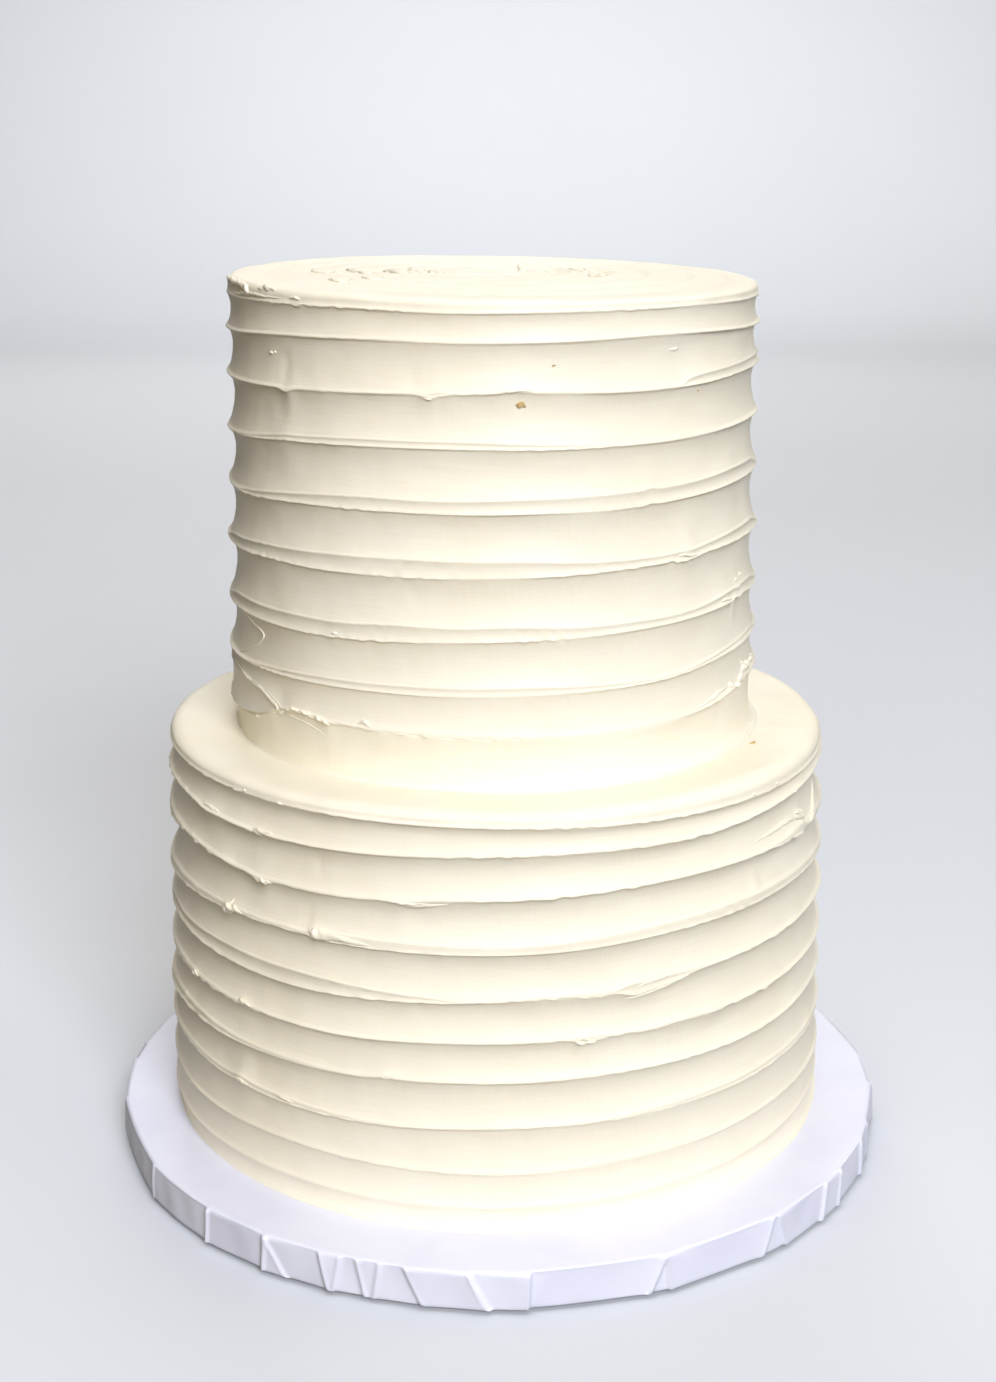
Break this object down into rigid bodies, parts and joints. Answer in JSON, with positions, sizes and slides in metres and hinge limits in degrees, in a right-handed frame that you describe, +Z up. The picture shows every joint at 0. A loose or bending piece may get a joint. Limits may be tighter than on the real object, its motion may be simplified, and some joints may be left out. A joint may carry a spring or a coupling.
{
  "type": "tiered wedding cake",
  "caption": "Round two-tier cake in ivory buttercream with horizontal spatula-textured sides, standing on a white paper-wrapped round cake board",
  "frame": {"origin": "middle of the cake board's underside, on the surface that the cake stands on", "axes": "+Z up; the front that the picture shows faces -Y, and +X is to its right"},
  "size_m": [0.254, 0.2538, 0.2868],
  "materials": {
    "board_paper": "white paper wrap with a slight sheen, pleated round the edge",
    "bottom_buttercream": "satin ivory buttercream, slightly translucent, with spatula strokes",
    "top_buttercream": "satin ivory buttercream, slightly translucent, with spatula strokes"
  },
  "bodies": {
    "root": {"cake_board": "board_paper", "bottom_tier": "bottom_buttercream", "top_tier": "top_buttercream"}
  },
  "joints": []
}
